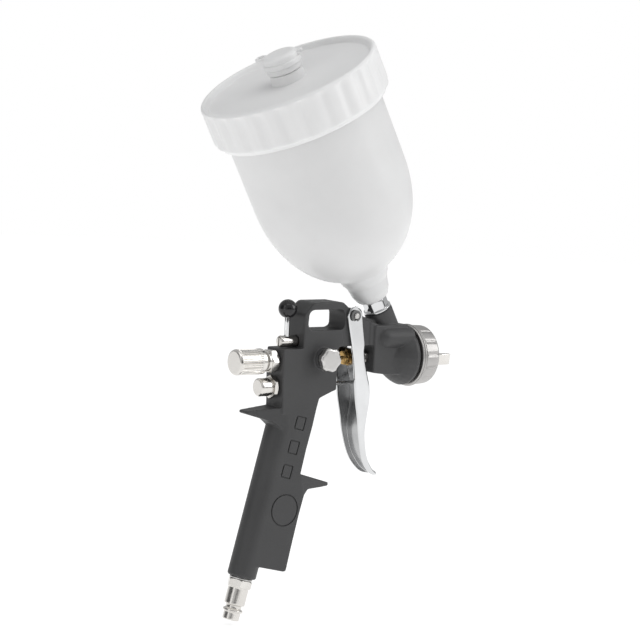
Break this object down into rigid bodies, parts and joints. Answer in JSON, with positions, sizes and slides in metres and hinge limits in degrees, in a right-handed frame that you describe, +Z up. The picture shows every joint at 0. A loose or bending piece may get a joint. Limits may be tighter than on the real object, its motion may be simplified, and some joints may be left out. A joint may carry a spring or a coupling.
{
  "type": "gravity cup spray gun",
  "caption": "Gravity-feed HVLP spray gun: cast body and handle, trigger, tilted translucent cup with screw lid, air cap, fluid and fan knobs, air lever and plug inlet.",
  "frame": {"origin": "blunt tip of the fluid needle, at the mouth of the fluid nozzle", "axes": "+X the way the paint leaves, along the needle; +Z up; the fan knob is on the -Y side"},
  "size_m": [0.1738, 0.11, 0.3519],
  "materials": {
    "body_paint": "satin powder coat",
    "nickel": "bright nickel plate",
    "chrome": "polished chrome plate",
    "steel": "bright steel",
    "brass": "turned brass",
    "cup_plastic": "milky translucent polypropylene",
    "lid_plastic": "milky translucent polypropylene",
    "black_plastic": "gloss black",
    "seal": "PTFE",
    "rubber": "matt"
  },
  "bodies": {
    "gun": {"gun_body": "body_paint", "fluid_nozzle": "steel", "needle_packing": "seal", "packing_nut": "nickel", "needle_guide_bush": "nickel", "fluid_sleeve": "nickel", "air_valve_gland": "brass", "air_valve_cap": "nickel", "fan_bush": "nickel", "air_baffle": "black_plastic", "trigger_pin": "steel", "trigger_clip": "black_plastic", "inlet_washer": "nickel", "air_inlet_plug": "nickel", "needle_spring": "steel", "air_valve_spring": "steel"},
    "trigger_lever": {"trigger": "chrome"},
    "fluid_needle": {"needle": "steel", "needle_push_nut": "brass", "needle_lock_nut": "brass"},
    "air_valve": {"air_valve_stem": "steel", "air_valve_seal": "rubber"},
    "fluid_control": {"fluid_knob": "nickel"},
    "fan_control": {"fan_knob": "nickel", "fan_spindle": "brass"},
    "air_lever": {"lever_spindle": "nickel", "lever_rod": "chrome", "lever_ball": "black_plastic"},
    "spray_cap": {"air_cap": "nickel"},
    "cap_ring": {"air_cap_ring": "nickel"},
    "paint_cup": {"cup": "cup_plastic", "cup_adapter": "chrome"},
    "cup_lid": {"lid": "lid_plastic"},
    "vent": {"vent_cap": "lid_plastic"}
  },
  "joints": [
    {"name": "trigger_pull", "type": "hinge", "parent": "gun", "child": "trigger_lever", "pos_m": [-0.0582, 0, 0.0269], "axis": [0, 1, 0], "range_deg": [0, 10], "stiffness_Nm_per_rad": 1, "springref_deg": -10},
    {"name": "needle_slide", "type": "slide", "parent": "gun", "child": "fluid_needle", "axis": [-1, 0, 0], "range_m": [0, 0.0045], "deforming": ["needle_spring"]},
    {"name": "air_valve_slide", "type": "slide", "parent": "gun", "child": "air_valve", "axis": [-1, 0, 0], "range_m": [0, 0.0083], "deforming": ["air_valve_spring"]},
    {"name": "fluid_knob_turn", "type": "hinge", "parent": "gun", "child": "fluid_control", "pos_m": [-0.13, 0, 0], "axis": [1, 0, 0], "range_deg": [0, 990]},
    {"name": "fan_knob_turn", "type": "hinge", "parent": "gun", "child": "fan_control", "pos_m": [-0.0802, -0.012, 0.0014], "axis": [0, -1, 0], "range_deg": [0, 450]},
    {"name": "lever_turn", "type": "hinge", "parent": "gun", "child": "air_lever", "pos_m": [-0.1017, 0, 0.0115], "axis": [1, 0, 0], "range_deg": [0, 90]},
    {"name": "air_cap_turn", "type": "hinge", "parent": "gun", "child": "spray_cap", "pos_m": [0, 0, 0], "axis": [1, 0, 0], "range_deg": [-90, 90]},
    {"name": "air_cap_ring_turn", "type": "hinge", "parent": "gun", "child": "cap_ring", "pos_m": [0, 0, 0], "axis": [1, 0, 0], "range_deg": [0, 1080]},
    {"name": "cup_turn", "type": "hinge", "parent": "gun", "child": "paint_cup", "pos_m": [-0.01718, 0, 0], "axis": [-0.4816, 0, 0.8764], "range_deg": [0, 1080]},
    {"name": "lid_turn", "type": "hinge", "parent": "paint_cup", "child": "cup_lid", "pos_m": [-0.01718, 0, 0], "axis": [-0.4816, 0, 0.8764], "range_deg": [0, 360]},
    {"name": "vent_cap_lift", "type": "slide", "parent": "cup_lid", "child": "vent", "axis": [-0.4816, 0, 0.8764], "range_m": [0, 0.006]}
  ],
  "couplings": [
    {"joint": "needle_slide", "follows": "trigger_pull", "m_per_rad": 0.0235},
    {"joint": "air_valve_slide", "follows": "trigger_pull", "m_per_rad": 0.0465}
  ]
}
